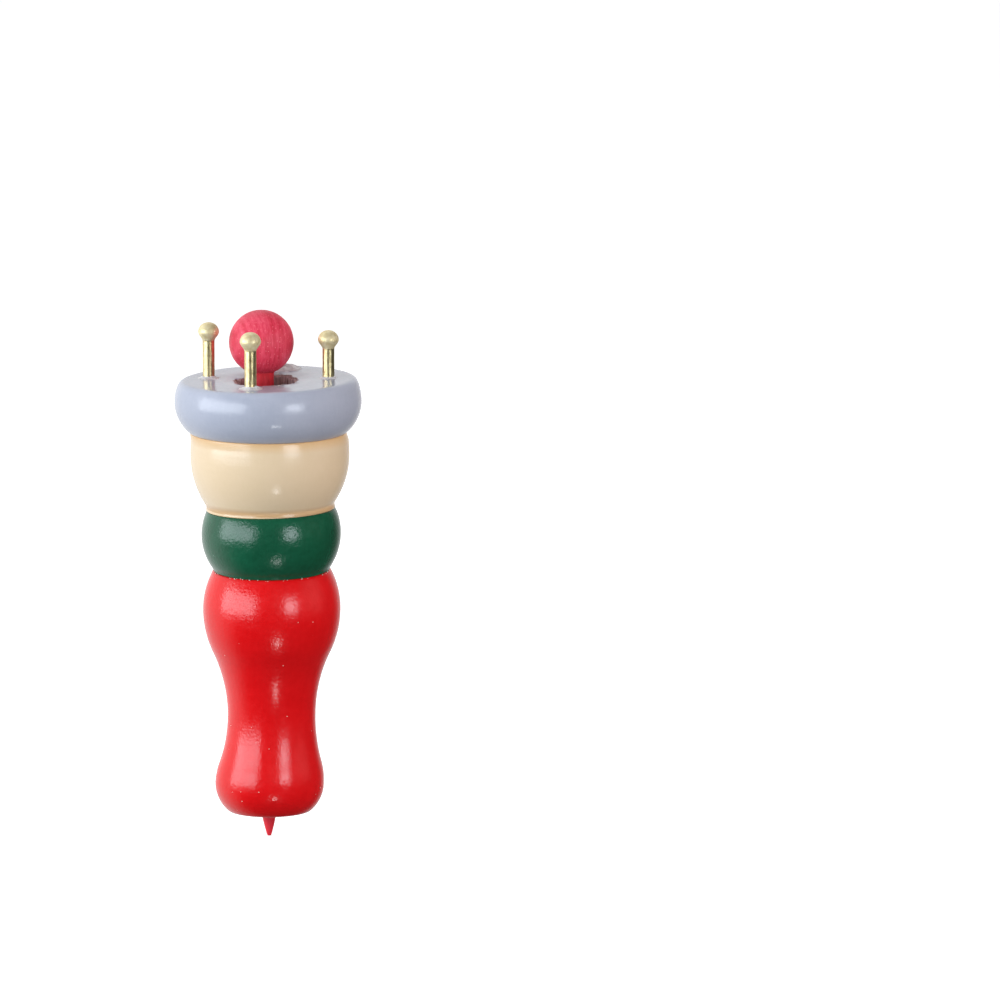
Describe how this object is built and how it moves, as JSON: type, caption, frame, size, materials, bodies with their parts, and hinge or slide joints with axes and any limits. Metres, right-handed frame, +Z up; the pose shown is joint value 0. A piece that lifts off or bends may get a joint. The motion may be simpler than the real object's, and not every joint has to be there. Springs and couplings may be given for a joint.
{
  "type": "knitting spool",
  "caption": "Hand-held knitting spool: a painted turned wooden body with a through bore, round-headed brass pins on its brim and a ball-headed wooden needle kept in the bore.",
  "frame": {"origin": "centre of the base, where the bore's axis meets it", "axes": "+Z up along the bore from the base to the pins, -Y the front, +X to the right seen from the front"},
  "size_m": [0.0328, 0.0328, 0.0938],
  "materials": {
    "handle_paint": "gloss enamel over turned wood",
    "collar_paint": "gloss enamel over turned wood",
    "head_paint": "gloss enamel over turned wood",
    "brim_paint": "gloss enamel over turned wood",
    "pin_brass": "polished",
    "needle_dye": "matte dye on bare wood"
  },
  "bodies": {
    "spool": {"handle": "handle_paint", "collar": "collar_paint", "head": "head_paint", "brim": "brim_paint", "pin_left": "pin_brass", "pin_front": "pin_brass", "pin_right": "pin_brass", "pin_back": "pin_brass"},
    "needle": {"needle_ball": "needle_dye", "needle_stick": "needle_dye"}
  },
  "joints": [
    {"name": "needle_lift", "type": "slide", "parent": "spool", "child": "needle", "axis": [-0.0113, 0, 0.9999], "range_m": [-0.0009, 0.085]}
  ]
}
